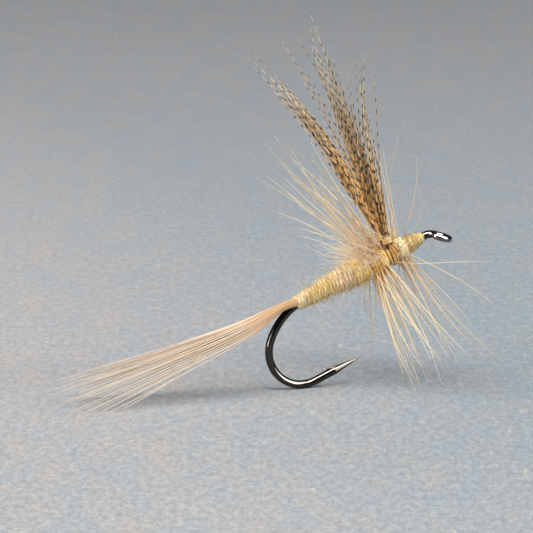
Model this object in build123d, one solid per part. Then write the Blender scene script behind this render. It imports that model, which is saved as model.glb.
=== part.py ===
from build123d import *

import os
from math import acos, cos, degrees, pi, radians, sin, sqrt, tan
from random import Random

# A dry fly standing on its hook bend, its hackle tips and its tail tips.
#
# Everything is laid out along the hook shank first: x runs forward along the shank axis
# towards the eye, z is square to the shank on the wing side, y is the fly's left, and the
# origin is where the straight shank meets the bend. The last step tilts the fly to the
# pitch it stands at and puts the middle of its footprint at the origin. Millimetres.

# Hook
shank_pitch = 23.5  # degrees nose up, with the fly standing
wire_radius = 0.205
shank_length = 7.03
gap = 4.12  # shank centreline to spear centreline
heel_radius = 3.4  # the easy curve behind the shank
bend_radius = 1.806  # the tighter curve into the spear
spear_length = 2.55
point_length = 1.48
point_tip_radius = 0.012
barb_length = 0.62
barb_lift = 0.27
barb_radii = (0.085, 0.015)

# Eye, a ring turned down from the shank
eye_angle = 39.5
neck_radius = 0.45
eye_ring_radius = 0.49
eye_wire_radius = 0.18
eye_bore_radius = 0.335

# Radii of the layers wound on the shank
base_thread_radius = 0.24
tail_butt_radius = 0.28
tail_layer_radius = 0.32
wing_butt_radii = (0.28, 0.36)
butt_layer_radius = 0.40
binding_radius = 0.43
brace_radius = 0.40
stem_radius = 0.08

# Stations along the shank, tail to head
tail_wraps_start = -0.58
body_start = 0.0
middle_body_start = 1.58
wing_butts_start = 2.70
front_body_start = 2.69
rear_hackle_start = 3.57
rear_hackle_end = 4.69
wing_zone_start = 4.72
brace_start = 5.14
front_hackle_start = 5.2
front_hackle_end = 5.84
head_start = 5.92
whip_finish_start = 6.62
head_end = 6.86

# Outside of each wound stretch, as (station, radius over the turns)
tail_wraps_crest = [(tail_wraps_start, 0.35), (body_start, 0.385)]
rear_body_crest = [(body_start, 0.40), (0.5, 0.43), (middle_body_start, 0.50)]
middle_body_crest = [(middle_body_start, 0.50), (2.2, 0.60), (front_body_start, 0.65)]
front_body_crest = [(front_body_start, 0.65), (3.1, 0.69), (rear_hackle_start, 0.64)]
head_crest = [(head_start, 0.44), (6.12, 0.465), (6.45, 0.375), (whip_finish_start, 0.325)]
whip_finish_crest = [(whip_finish_start, 0.325), (head_end, 0.26)]

# Width of one turn of each strand, and how deep the grooves between turns are beside it
thread_turn = 0.075
dubbing_turn = 0.174
stem_turn = 2 * stem_radius
groove_share = 0.22

# Head cement, the clear coat over the head, which ends on the bare wire
cement_thickness = 0.022
cement_start = 6.0
cement_front = 6.95

# Tail
tail_count = 18
tail_butt_front = 1.5
tail_butt_spread = 112  # degrees round the shank, each way from the top
tail_fan_start = -0.5
tail_fan_rise = 0.10
tail_fan_gather = (0.85, 0.75)  # how far the bundle draws in, sideways and upwards
tail_lengths = (11.6, 13.6)
tail_middle = 0.45  # share of the length where the fibre is at half its lift
tail_lift_range = (4.2, 12.5)  # degrees above the line of the shank
tail_lift_shares = (0.45, 1.35)  # lift before and after the middle
tail_side_range = 8.5
tail_radii = (0.031, 0.0295, 0.028, 0.022, 0.011)

# Wings, each a bundle of fibres folded up from butts tied along the shank
wing_count = 14
wing_butt_rear = 2.76
wing_butt_scatter = 0.2
wing_butt_first_angle = 14  # degrees round the shank from the top
wing_butt_steps = (18, 16)  # degrees between butts, in the inner and the outer layer
wing_stand = 4.96
wing_side_offset = 0.23
wing_fold_height = 0.62
wing_post_height = 1.08
wing_middle = 0.45
wing_radii = (0.036, 0.0355, 0.034, 0.033, 0.027, 0.014)
wing_bundle_pitch = 0.043
wing_fan = 9.5
right_wing = {"side": -1, "lean_back": -1.0, "tip_lean_back": 1.0, "lengths": (10.2, 13.1)}
left_wing = {"side": 1, "lean_back": 6.0, "tip_lean_back": 15.0, "lengths": (9.2, 11.4)}
wing_side_lean = 9.0
golden_angle = 137.508

# Thread that gathers and parts the wings
post_wrap_margin = 0.06
post_wrap_radii = (0.215, 0.205)
post_crest_radii = (0.265, 0.245)
figure_eight_loops = ((27, 0.44), (-27, 0.51))  # slant in degrees, radius
figure_eight_thread_radius = 0.03

# Hackle, barbs standing out round the wound stem
rear_barb_count = 58
front_barb_count = 48
barb_reach = (6.8, 7.5)  # from the shank axis to the barb's tip
rear_sweep = (-24.0, 6.0)  # degrees forward of square to the shank
front_sweep = (-5.0, 24.0)
sweep_order = 0.72  # share of the sweep that follows the barb's place, the rest being chance
barb_turn_scatter = 5
barb_bow = 0.025
barb_radii_along = (0.032, 0.024, 0.010)
barb_root_inset = (0.05, 0.05)
barb_root_depth = 0.03

# Loose hairs of the dubbed body
guard_hair_count = 14
guard_hair_span = (0.2, 3.4)
guard_hair_lengths = (0.35, 1.1)
guard_hair_slope = (-0.9, 0.3)
guard_hair_drift = (-0.25, 0.1)
guard_hair_radii = (0.015, 0.012, 0.006)
guard_hair_roots = [(body_start, 0.39), (middle_body_start, 0.47), (front_body_start, 0.62),
                    (rear_hackle_start, 0.62)]

shank_axis = Vector(1, 0, 0)
floor_up = Vector(sin(radians(shank_pitch)), 0, cos(radians(shank_pitch)))


def between(limits, share):
    """The value a share of the way from the first limit to the second."""
    return limits[0] + (limits[1] - limits[0]) * share


def profile_radius(profile, x):
    """Radius at x on a profile of (x, radius) points joined by straight lines."""
    for (x0, r0), (x1, r1) in zip(profile, profile[1:]):
        if x <= x1:
            return between((r0, r1), (x - x0) / (x1 - x0))
    return profile[-1][1]


def around_shank(x, radius, angle):
    """A point at a distance from the shank axis, its angle counted from the wing side to the left."""
    return Vector(x, radius * sin(radians(angle)), radius * cos(radians(angle)))


def heading(lean, side):
    """Unit direction leaning back from square to the shank, and to the left."""
    return Vector(-tan(radians(lean)), tan(radians(side)), 1).normalized()


def fibre(points, radii):
    """A six-sided tapered strand along a bent line, mitred at each bend, so that every face is flat."""
    directions = [(end - start).normalized() for start, end in zip(points, points[1:])]
    root = Plane(origin=points[0], z_dir=directions[0])
    corners = [Vector(radii[0] * cos(k * pi / 3), radii[0] * sin(k * pi / 3), 0) for k in range(6)]
    rings = [[root.from_local_coords(corner) for corner in corners]]
    for k, direction in enumerate(directions):
        start, end = points[k], points[k + 1]
        apex = start + direction * ((end - start).length * radii[k] / (radii[k] - radii[k + 1]))
        normal = direction + directions[k + 1] if k + 1 < len(directions) else direction
        ring = []
        for corner in rings[-1]:
            share = (end - corner).dot(normal) / (apex - corner).dot(normal)
            ring.append(corner + (apex - corner) * share)
        rings.append(ring)
    faces = [Face(Wire.make_polygon(rings[0])), Face(Wire.make_polygon(rings[-1]))]
    for low, high in zip(rings, rings[1:]):
        for k in range(6):
            side = [low[k], low[k - 1], high[k - 1], high[k]]
            faces.append(Face(Wire.make_polygon(side)))
    return Solid(Shell(faces))


def wound_sleeve(outline, crest, turn):
    """A strand wound in touching turns along the x axis, as one ribbed ring.

    outline is the inside as (x, radius) points, and crest the outside as a profile.
    """
    start, end = outline[0][0], outline[-1][0]
    count = max(1, round((end - start) / turn))
    width = (end - start) / count
    groove = groove_share * width

    def rim(x, depth):
        return Vector(x, 0, profile_radius(crest, x) - depth)

    inside = [Vector(x, 0, radius) for x, radius in outline]
    edges = [Edge.make_line(a, b) for a, b in zip(inside, inside[1:])]
    edges.append(Edge.make_line(inside[-1], rim(end, groove)))
    for k in reversed(range(count)):
        low = start + k * width
        edges.append(Edge.make_three_point_arc(
            rim(low + width, groove), rim(low + width / 2, 0), rim(low, groove)))
    edges.append(Edge.make_line(rim(start, groove), inside[0]))
    return Solid.revolve(Face(Wire(edges)), 360, Axis.X)


def eye_directions():
    """The way the eye points, and the normal of its ring."""
    angle = radians(eye_angle)
    return Vector(cos(angle), 0, -sin(angle)), Vector(sin(angle), 0, cos(angle))


def eye_centre():
    angle = radians(eye_angle)
    neck_end = Vector(shank_length + neck_radius * sin(angle), 0, -neck_radius * (1 - cos(angle)))
    return neck_end + eye_directions()[0] * eye_ring_radius


def bend_centre():
    """Centre of the tight part of the bend, below and behind the end of the shank."""
    drop = gap - bend_radius
    back = sqrt((heel_radius - bend_radius) ** 2 - (heel_radius - drop) ** 2)
    return Vector(-back, 0, -drop)


def make_hook():
    """Bent wire in one piece, with its point, its small barb and its turned-down eye."""
    bend = bend_centre()
    heel_turn = degrees(acos((heel_radius + bend.Z) / (heel_radius - bend_radius)))
    taper_start = bend.X + spear_length - point_length
    with BuildLine(Plane.XZ):
        spear = Line((taper_start, -gap), (bend.X, -gap))
        curve = JernArc(spear @ 1, spear % 1, bend_radius, heel_turn - 180)
        heel = JernArc(curve @ 1, curve % 1, heel_radius, -heel_turn)
        shank = Line(heel @ 1, (shank_length, 0))
        neck = JernArc(shank @ 1, shank % 1, neck_radius, -eye_angle)
    path = Wire([spear, curve, heel, shank, neck])
    section = Plane(origin=path @ 0, z_dir=path % 0) * Circle(wire_radius)
    wire = sweep(section, path)
    point = Solid.make_cone(
        wire_radius, point_tip_radius, point_length,
        Plane(origin=(taper_start, 0, -gap), z_dir=(1, 0, 0)))
    barb_root = Vector(taper_start + 0.1, 0, barb_radii[0] - gap)
    barb = fibre([barb_root, barb_root + Vector(-barb_length, 0, barb_lift)], barb_radii)
    _, ring_normal = eye_directions()
    ring_plane = Plane(origin=eye_centre(), z_dir=ring_normal)
    ring = Solid.make_torus(eye_ring_radius, eye_wire_radius, ring_plane)
    bore = Solid.make_cylinder(
        eye_bore_radius, 2 * wire_radius,
        Plane(origin=eye_centre() - ring_normal * wire_radius, z_dir=ring_normal))
    return (wire + point + barb + ring - bore).solids()


def plain_sleeve(inside_radius, crest, turn):
    """A wound sleeve with a straight bore, as long as its crest profile."""
    return wound_sleeve([(crest[0][0], inside_radius), (crest[-1][0], inside_radius)], crest, turn)


def make_thread_base():
    """The foundation of thread along the shank, under everything that is tied on."""
    crest = [(body_start, base_thread_radius), (head_end, base_thread_radius)]
    return [plain_sleeve(wire_radius, crest, thread_turn)]


def make_binding_wraps():
    """Thread built up between the tail butts and the wing butts, and then over the wing butts."""
    outline = [(middle_body_start, base_thread_radius), (wing_butts_start, base_thread_radius),
               (wing_butts_start, butt_layer_radius), (wing_zone_start, butt_layer_radius)]
    crest = [(middle_body_start, butt_layer_radius), (front_body_start, binding_radius),
             (wing_zone_start, binding_radius)]
    return [wound_sleeve(outline, crest, thread_turn)]


def height_above_floor(point):
    """Height that a point in the shank's frame has when the fly stands."""
    return (point - bend_centre()).dot(floor_up) + bend_radius + wire_radius


def tail_heading(lift, side):
    return Vector(-cos(radians(lift)), sin(radians(side)), sin(radians(lift)))


def make_tail(random):
    """Stiff tail fibres, their butts laid round the shank and their tips fanned out behind."""
    fibres = []
    for k in range(tail_count):
        share = k / (tail_count - 1)
        angle = between((-tail_butt_spread, tail_butt_spread), share)
        butt = around_shank(tail_butt_front, tail_butt_radius, angle)
        tie = around_shank(body_start, tail_butt_radius, angle)
        across, upward = tail_fan_gather
        fan = Vector(tail_fan_start, tie.Y * across, tail_fan_rise + tie.Z * upward)
        lift = between(tail_lift_range, (k * 7 % tail_count) / (tail_count - 1))
        side = between((-tail_side_range, tail_side_range), share) + random.uniform(-1, 1)
        length = between(tail_lengths, random.random())
        early, late = tail_lift_shares
        middle = fan + tail_heading(lift * early, side * 0.7) * (length * tail_middle)
        tip = middle + tail_heading(lift * late, side) * (length * (1 - tail_middle))
        tip += floor_up * max(0, tail_radii[-1] - height_above_floor(tip))
        fibres.append(fibre([butt, tie, fan, middle, tip], tail_radii))
    return fibres


def make_tail_wraps():
    """The pale turns of thread that bind the tail down at the bend."""
    return [plain_sleeve(tail_layer_radius, tail_wraps_crest, thread_turn)]


def make_rear_body():
    return [plain_sleeve(tail_layer_radius, rear_body_crest, dubbing_turn)]


def make_middle_body():
    return [plain_sleeve(binding_radius, middle_body_crest, dubbing_turn)]


def make_front_body():
    return [plain_sleeve(binding_radius, front_body_crest, dubbing_turn)]


def make_wing(random, shape):
    """One upright wing: each fibre runs forward along the shank and folds up into the wing."""
    side = shape["side"]
    base = Vector(wing_stand, side * wing_side_offset, 0)
    low = heading(shape["lean_back"], side * wing_side_lean)
    high = heading(shape["tip_lean_back"], side * wing_side_lean)
    fibres = []
    for k in range(wing_count):
        layer = k % 2
        angle = side * (wing_butt_first_angle + k // 2 * wing_butt_steps[layer])
        turn = radians(golden_angle * k)
        reach = wing_bundle_pitch * sqrt(k + 0.5)
        cell = Vector(reach * cos(turn), reach * sin(turn), 0)
        length = between(shape["lengths"], random.random())
        rear = wing_butt_rear + wing_butt_scatter * random.random()
        butt = around_shank(rear, wing_butt_radii[layer], angle)
        corner = around_shank(wing_zone_start, wing_butt_radii[layer], angle)
        fold = base + cell + low * wing_fold_height
        post = base + cell + low * wing_post_height
        middle = post + cell * (wing_fan * wing_middle) + low * (length * wing_middle)
        tip = middle + cell * (wing_fan * (1 - wing_middle)) + high * (length * (1 - wing_middle))
        fibres.append(fibre([butt, corner, fold, post, middle, tip], wing_radii))
    return fibres


def make_post_wraps(shape):
    """Thread wound round the foot of one wing to gather its fibres."""
    side = shape["side"]
    direction = heading(shape["lean_back"], side * wing_side_lean)
    foot = Vector(wing_stand, side * wing_side_offset, 0)
    start = foot + direction * (wing_fold_height + post_wrap_margin)
    length = wing_post_height - wing_fold_height - 2 * post_wrap_margin
    outline = list(zip((0, length), post_wrap_radii))
    crest = list(zip((0, length), post_crest_radii))
    along = Plane(origin=start, x_dir=direction, z_dir=shank_axis)
    return [wound_sleeve(outline, crest, thread_turn).moved(along.location)]


def make_figure_eight():
    """Two crossing loops of thread round the shank, passing between the wings to part them."""
    loops = []
    for slant, radius in figure_eight_loops:
        axis = Vector(cos(radians(slant)), sin(radians(slant)), 0)
        plane = Plane(origin=(wing_stand, 0, 0), z_dir=axis)
        loops.append(Solid.make_torus(radius, figure_eight_thread_radius, plane))
    return loops


def make_brace_wraps():
    """Thread built up in front of the wings to hold them upright."""
    crest = [(brace_start, brace_radius), (head_start, brace_radius)]
    return [plain_sleeve(base_thread_radius, crest, thread_turn)]


def make_stem(start, end, core_radius):
    """The hackle feather's stem, wound edge to edge over the thread."""
    crest_radius = core_radius + 2 * stem_radius
    return [plain_sleeve(core_radius, [(start, crest_radius), (end, crest_radius)], stem_turn)]


def make_barbs(random, count, start, end, core_radius, sweep_range):
    """Hackle barbs standing out round the stem, stopped where they press on the floor."""
    root_radius = core_radius + 2 * stem_radius - barb_root_depth
    rear_inset, front_inset = barb_root_inset
    barbs = []
    for k in range(count):
        share = (k + 0.5) / count
        angle = golden_angle * k + random.uniform(-barb_turn_scatter, barb_turn_scatter)
        root = around_shank(between((start + rear_inset, end - front_inset), share), root_radius, angle)
        lean = between(sweep_range, sweep_order * share + (1 - sweep_order) * random.random())
        out = around_shank(0, 1, angle + random.uniform(-barb_turn_scatter, barb_turn_scatter))
        direction = (out + shank_axis * tan(radians(lean))).normalized()
        length = between(barb_reach, random.random()) - root_radius
        fall = -direction.dot(floor_up)
        if fall > 0:
            length = min(length, (height_above_floor(root) - barb_radii_along[-1]) / fall)
        middle = root + (direction / 2 + shank_axis * random.uniform(-barb_bow, barb_bow)) * length
        barbs.append(fibre([root, middle, root + direction * length], barb_radii_along))
    return barbs


def make_head():
    """Thread wound into the tapered head."""
    return [plain_sleeve(base_thread_radius, head_crest, thread_turn)]


def make_whip_finish():
    """The last turns, behind the eye, under which the thread's end is drawn."""
    return [plain_sleeve(base_thread_radius, whip_finish_crest, thread_turn)]


def make_head_cement():
    """A thin clear coat over the head, closed onto the bare wire in front of it."""
    crests = head_crest + whip_finish_crest[1:]
    inner = [(cement_start, profile_radius(crests, cement_start) + cement_thickness / 4)]
    inner += [(x, radius + cement_thickness / 4) for x, radius in crests if x > cement_start]
    nose_x, nose_radius = inner[-1]
    wall = nose_x + cement_thickness
    outline = [Vector(x, 0, radius) for x, radius in inner]
    outline += [Vector(wall, 0, nose_radius), Vector(wall, 0, wire_radius)]
    outline += [Vector(cement_front, 0, wire_radius), Vector(wall, 0, nose_radius + cement_thickness)]
    outline += [Vector(x, 0, radius + cement_thickness) for x, radius in reversed(inner[:-1])]
    return [Solid.revolve(Face(Wire.make_polygon(outline)), 360, Axis.X)]


def make_guard_hairs(random):
    """Single hairs of dubbing that stand off the body."""
    hairs = []
    for k in range(guard_hair_count):
        x = between(guard_hair_span, (k + random.random()) / guard_hair_count)
        angle = golden_angle * k
        root = around_shank(x, profile_radius(guard_hair_roots, x), angle)
        length = between(guard_hair_lengths, random.random())
        slope = shank_axis * random.uniform(*guard_hair_slope)
        out = (around_shank(0, 1, angle) + slope).normalized()
        drift = shank_axis * random.uniform(*guard_hair_drift)
        hairs.append(fibre([root, root + out * (length / 2), root + (out + drift) * length],
                           guard_hair_radii))
    return hairs


random = Random(14)
parts = {
    "hook": make_hook(),
    "thread_base": make_thread_base(),
    "butt_binding_wraps": make_binding_wraps(),
    "tail_fibres": make_tail(random),
    "tail_tie_wraps": make_tail_wraps(),
    "rear_body_dubbing": make_rear_body(),
    "middle_body_dubbing": make_middle_body(),
    "front_body_dubbing": make_front_body(),
    "dubbing_guard_hairs": make_guard_hairs(random),
    "left_wing_fibres": make_wing(random, left_wing),
    "right_wing_fibres": make_wing(random, right_wing),
    "left_wing_post_wraps": make_post_wraps(left_wing),
    "right_wing_post_wraps": make_post_wraps(right_wing),
    "figure_eight_wraps": make_figure_eight(),
    "wing_brace_wraps": make_brace_wraps(),
    "rear_hackle_stem": make_stem(rear_hackle_start, rear_hackle_end, binding_radius),
    "rear_hackle_barbs": make_barbs(
        random, rear_barb_count, rear_hackle_start, rear_hackle_end, binding_radius, rear_sweep),
    "front_hackle_stem": make_stem(front_hackle_start, front_hackle_end, brace_radius),
    "front_hackle_barbs": make_barbs(
        random, front_barb_count, front_hackle_start, front_hackle_end, brace_radius, front_sweep),
    "head_wraps": make_head(),
    "whip_finish": make_whip_finish(),
    "head_cement": make_head_cement(),
}

# Stand the fly up, then move the middle of its footprint to the origin.
tilt = Location((0, 0, 0), (0, -shank_pitch, 0))
standing = {name: Compound([solid.moved(tilt) for solid in solids]) for name, solids in parts.items()}
box = Compound(list(standing.values())).bounding_box()
to_origin = Location((-(box.min.X + box.max.X) / 2, -(box.min.Y + box.max.Y) / 2, -box.min.Z))

os.makedirs("parts", exist_ok=True)
for name, piece in standing.items():
    export_step(piece.moved(to_origin), f"parts/{name}.step")

placement = to_origin * tilt
print("shank datum", placement.position)
print("eye centre", (placement * Pos(*eye_centre())).position)
print("eye normal", Vector(*eye_directions()[1]).rotate(Axis.Y, -shank_pitch))
print("size", box.size)
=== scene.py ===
"""A divided-wing dry fly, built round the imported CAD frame.

Shapes are worked out in the shank's frame, in millimetres: x runs forward along the hook
shank, z is square to the shank on the wing side, y is the fly's left, and the origin is where
the straight shank meets the bend. to_world() puts them in the row frame, in metres.
"""

import math

import bpy
import numpy as np
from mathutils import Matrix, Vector


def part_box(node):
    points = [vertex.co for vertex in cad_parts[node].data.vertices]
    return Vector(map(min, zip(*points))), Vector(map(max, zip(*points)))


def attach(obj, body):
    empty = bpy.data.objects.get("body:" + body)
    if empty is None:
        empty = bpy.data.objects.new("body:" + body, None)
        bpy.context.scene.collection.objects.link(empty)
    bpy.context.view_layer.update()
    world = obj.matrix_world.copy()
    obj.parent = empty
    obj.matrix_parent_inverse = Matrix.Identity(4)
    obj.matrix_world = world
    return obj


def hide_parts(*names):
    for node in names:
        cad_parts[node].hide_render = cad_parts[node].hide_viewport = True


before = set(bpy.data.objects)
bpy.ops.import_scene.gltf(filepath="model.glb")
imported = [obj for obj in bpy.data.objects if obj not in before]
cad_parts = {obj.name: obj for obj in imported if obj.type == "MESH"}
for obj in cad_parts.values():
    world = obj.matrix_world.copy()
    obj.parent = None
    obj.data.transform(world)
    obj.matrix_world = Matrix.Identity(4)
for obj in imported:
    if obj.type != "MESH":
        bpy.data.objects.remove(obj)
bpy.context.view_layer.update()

MM = 0.001

# Hook
shank_pitch = math.radians(23.5)
wire_radius = 0.205
shank_length = 7.03
gap = 4.12
heel_radius = 3.4
bend_radius = 1.806
spear_length = 2.55
point_length = 1.48
point_tip_radius = 0.012
barb_length = 0.62
barb_lift = 0.27
eye_angle = math.radians(39.5)
neck_radius = 0.45
eye_ring_radius = 0.49
eye_wire_radius = 0.165

# Layers wound on the shank
tail_butt_radius = 0.28
butt_layer_radius = 0.40
binding_radius = 0.43
stem_radius = 0.08

# Outside of each wound stretch, as (station along the shank, radius over the turns)
tail_wraps_crest = ((-0.58, 0.35), (0.0, 0.385))
rear_body_crest = ((0.0, 0.40), (0.5, 0.43), (1.58, 0.50))
middle_body_crest = ((1.58, 0.50), (2.2, 0.60), (2.69, 0.65))
front_body_crest = ((2.69, 0.65), (3.1, 0.69), (3.57, 0.64))
head_crest = ((5.92, 0.44), (6.12, 0.465), (6.45, 0.375), (6.62, 0.325))
whip_finish_crest = ((6.62, 0.325), (6.86, 0.24))
cement_span = (6.0, 6.95)
cement_thickness = 0.022

# Hackle stems, as (span along the shank, radius of the layer under them)
rear_stem = ((3.57, 4.69), binding_radius)
front_stem = ((5.2, 5.84), butt_layer_radius)

# Wings, their angles in degrees from square to the shank
wing_stand = 4.96
wing_side_offset = 0.23
wing_fold_height = 0.62
wing_post_height = 1.08
wing_splay = 9.0
right_wing_lean = -1.0
left_wing_lean = 2.0

# Headings in the shank's frame
along_shank = np.array([1.0, 0, 0])
world_up = np.array([math.sin(shank_pitch), 0, math.cos(shank_pitch)])

golden_angle = math.radians(137.508)
floor_clearance = 0.02
random = np.random.default_rng(0)


def reseed(seed):
    """Starts the random values again, so that each piece keeps its shape when another changes."""
    global random
    random = np.random.default_rng(seed)


def spread(low, high, count):
    """Random values, one for each strand."""
    return random.uniform(low, high, count)


def wobble(count, step, size):
    """A smooth random line, with a new random value at every few points."""
    knots = random.normal(0, size, count // step + 3)
    return np.interp(np.arange(count), np.arange(len(knots)) * step, knots)


# ---- the shank's frame


def pitch_up(points):
    """Turns points from the shank's frame to the pitch that the fly stands at."""
    x, y, z = np.moveaxis(points, -1, 0)
    cosine, sine = math.cos(shank_pitch), math.sin(shank_pitch)
    return np.stack([x * cosine - z * sine, y, x * sine + z * cosine], axis=-1)


def bend_centre():
    """Centre of the tight part of the bend, in the shank's frame."""
    drop = gap - bend_radius
    back = math.sqrt((heel_radius - bend_radius) ** 2 - (heel_radius - drop) ** 2)
    return np.array([-back, 0.0, -drop])


def find_datum():
    """The shank frame's origin in the row frame, from the CAD hook's rearmost and lowest reach."""
    low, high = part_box("hook")
    reach = bend_radius + wire_radius
    x, _, z = np.array(low) / MM + reach - pitch_up(bend_centre())
    return np.array([x, (low.y + high.y) / 2 / MM, z])


datum = find_datum()


def to_world(points):
    """Shank frame in millimetres to row frame in metres."""
    return (pitch_up(points) + datum) * MM


def floor_height(points):
    """Heights over the floor of points in the shank's frame."""
    return pitch_up(points)[..., 2] + datum[2]


def lift_off_floor(points, clearance):
    """Lifts points so that none is nearer to the floor than the clearance."""
    return points + np.maximum(clearance - floor_height(points), 0)[..., None] * world_up


def around(x, radius, angle):
    """Points at a distance from the shank axis, the angle counted from the wing side to the left."""
    x, radius, angle = np.broadcast_arrays(x, radius, angle)
    return np.stack([x, radius * np.sin(angle), radius * np.cos(angle)], axis=-1)


def crest_radius(crest, x):
    """Outside radius of a wound stretch at a station along the shank."""
    return np.interp(x, *zip(*crest))


# ---- strands


def unit(vectors):
    return vectors / np.maximum(np.linalg.norm(vectors, axis=-1, keepdims=True), 1e-12)


def smooth_curves(control, count):
    """Smooth curves through control points: (strands, points, 3) in, (strands, count, 3) out."""
    chord = np.linalg.norm(np.diff(control, axis=1), axis=2)
    station = np.concatenate([np.zeros((len(control), 1)), np.cumsum(chord, axis=1)], axis=1)
    slope = np.diff(control, axis=1) / chord[..., None]
    before, after = chord[:, :-1, None], chord[:, 1:, None]
    inner = (slope[:, :-1] * after + slope[:, 1:] * before) / (before + after)
    tangent = np.concatenate([slope[:, :1], inner, slope[:, -1:]], axis=1)
    where = station[:, -1:] * np.linspace(0, 1, count)
    span = (where[:, :, None] >= station[:, None, 1:-1]).sum(axis=2)
    row = np.arange(len(control))[:, None]
    length = chord[row, span]
    t = ((where - station[row, span]) / length)[..., None]
    start, end = control[row, span], control[row, span + 1]
    out, into = tangent[row, span] * length[..., None], tangent[row, span + 1] * length[..., None]
    return ((2 * t**3 - 3 * t**2 + 1) * start + (t**3 - 2 * t**2 + t) * out
            + (3 * t**2 - 2 * t**3) * end + (t**3 - t**2) * into)


def tubes(points, radii, sides, seeds=None, folds=1):
    """Tapered round strands, as the arrays that one mesh is made of.

    points is (strands, rings, 3) in the shank's frame and radii broadcasts to (strands, rings).
    folds is how many rows of the colour map one strand takes up.
    """
    strands, rings = points.shape[:2]
    radii = np.broadcast_to(radii, (strands, rings))
    seeds = spread(0, 1, strands) if seeds is None else np.broadcast_to(seeds, strands)
    direction = unit(np.gradient(points, axis=1))
    aside = np.where(np.abs(direction[:, 0, 1:2]) < 0.8, [[0.0, 1, 0]], [[0.0, 0, 1]])
    normals = []
    for k in range(rings):
        ahead = direction[:, k]
        aside = unit(aside - (aside * ahead).sum(axis=1, keepdims=True) * ahead)
        normals.append(aside)
    normals = np.stack(normals, axis=1)
    binormals = np.cross(direction, normals)
    turn = np.arange(sides) * 2 * math.pi / sides
    ring = normals[:, :, None] * np.cos(turn)[:, None] + binormals[:, :, None] * np.sin(turn)[:, None]
    vertices = points[:, :, None] + ring * radii[:, :, None, None]
    distance = np.linalg.norm(np.diff(points, axis=1), axis=2).cumsum(axis=1)
    distance = np.concatenate([np.zeros((strands, 1)), distance], axis=1)

    strand, step, side = np.meshgrid(
        np.arange(strands), np.arange(rings - 1), np.arange(sides), indexing="ij")
    first = (strand * rings + step) * sides
    after = (side + 1) % sides
    quads = np.stack([first + side, first + after, first + sides + after, first + sides + side], axis=-1)
    per_fold = math.ceil((rings - 1) / folds)
    u_low = (step % per_fold) / per_fold
    row = strand * folds + step // per_fold
    corners_u = np.stack([u_low, u_low, u_low + 1 / per_fold, u_low + 1 / per_fold], axis=-1)
    corners_v = np.stack([side, side + 1, side + 1, side], axis=-1) / sides
    starts = (np.arange(strands) * rings * sides)[:, None] + np.arange(sides)
    return {
        "vertices": to_world(vertices.reshape(-1, 3)),
        "quads": quads.reshape(-1, 4),
        "caps": np.concatenate([starts[:, ::-1], starts + (rings - 1) * sides]),
        "cells": row.reshape(-1),
        "cell_count": strands * folds,
        "corner_uv": np.stack([corners_u, corners_v], axis=-1).reshape(-1, 4, 2),
        "area": float((distance[:, -1] * radii.mean(axis=1)).sum()),
        "seed": np.repeat(seeds, rings * sides),
        "along": np.tile(np.repeat(np.linspace(0, 1, rings), sides), strands),
        "distance": np.repeat(distance.reshape(-1), sides),
    }


def cell_map(bundle, low, high):
    """Corner UVs of a bundle's quads, one cell of the map for each strand, in a band of the map."""
    count = bundle["cell_count"]
    aspect, pad = 8, 0.1
    rows = min(count, max(1, round(math.sqrt(count * aspect * (high - low)))))
    columns = math.ceil(count / rows)
    column, row = np.divmod(bundle["cells"], rows)
    inset = pad + bundle["corner_uv"] * (1 - 2 * pad)
    u = (column[:, None] + inset[..., 0]) / columns
    v = low + (row[:, None] + inset[..., 1]) / rows * (high - low)
    return np.stack([u, v], axis=-1)


def strand_mesh(name, bundles):
    """One mesh of several bundles of tubes, with a colour map laid out by strand."""
    least_share = 0.1
    offsets = np.cumsum([0] + [len(b["vertices"]) for b in bundles])
    shares = np.array([b["area"] for b in bundles])
    shares = shares / shares.sum() + least_share
    bands = np.concatenate([[0], np.cumsum(shares / shares.sum())])
    quads = np.concatenate([b["quads"] + o for b, o in zip(bundles, offsets)])
    caps = [row for b, o in zip(bundles, offsets) for row in (b["caps"] + o).tolist()]
    mesh = bpy.data.meshes.new(name)
    vertices = np.concatenate([b["vertices"] for b in bundles])
    mesh.from_pydata(vertices.tolist(), [], quads.tolist() + caps)
    uv = mesh.uv_layers.new(name="OFBake")
    quad_uv = np.concatenate([cell_map(b, bands[k], bands[k + 1]) for k, b in enumerate(bundles)])
    vertex_uv = np.zeros((len(vertices), 2))
    vertex_uv[quads.reshape(-1)] = quad_uv.reshape(-1, 2)
    corners = [quad_uv.reshape(-1, 2)] + [vertex_uv[cap] for cap in caps]
    uv.data.foreach_set("uv", np.concatenate(corners).reshape(-1))
    for key in ("seed", "along", "distance"):
        attribute = mesh.attributes.new(key, "FLOAT", "POINT")
        attribute.data.foreach_set("value", np.concatenate([b[key] for b in bundles]))
    make_smooth(mesh)
    return mesh


def make_smooth(mesh):
    mesh.polygons.foreach_set("use_smooth", [True] * len(mesh.polygons))
    mesh.update()


def place(name, mesh, material, slot, *nodes):
    """Puts a mesh in the scene as a piece that stands for CAD nodes."""
    piece = bpy.data.objects.new(name, mesh)
    bpy.context.scene.collection.objects.link(piece)
    mesh.materials.append(material)
    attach(piece, "root")
    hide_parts(*nodes)
    return piece


def place_strands(name, bundles, material, slot, *nodes):
    return place(name, strand_mesh(name, bundles), material, slot, *nodes)


def helix(start, end, turns, crest, inset, phase=0.0):
    """Centre line of a strand wound round the shank, inset from the crest."""
    steps_per_turn = 36
    count = int(abs(turns) * steps_per_turn) + 2
    x = np.linspace(start, end, count)
    return around(x, crest_radius(crest, x) - inset, phase + np.linspace(0, 2 * math.pi * turns, count))


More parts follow.
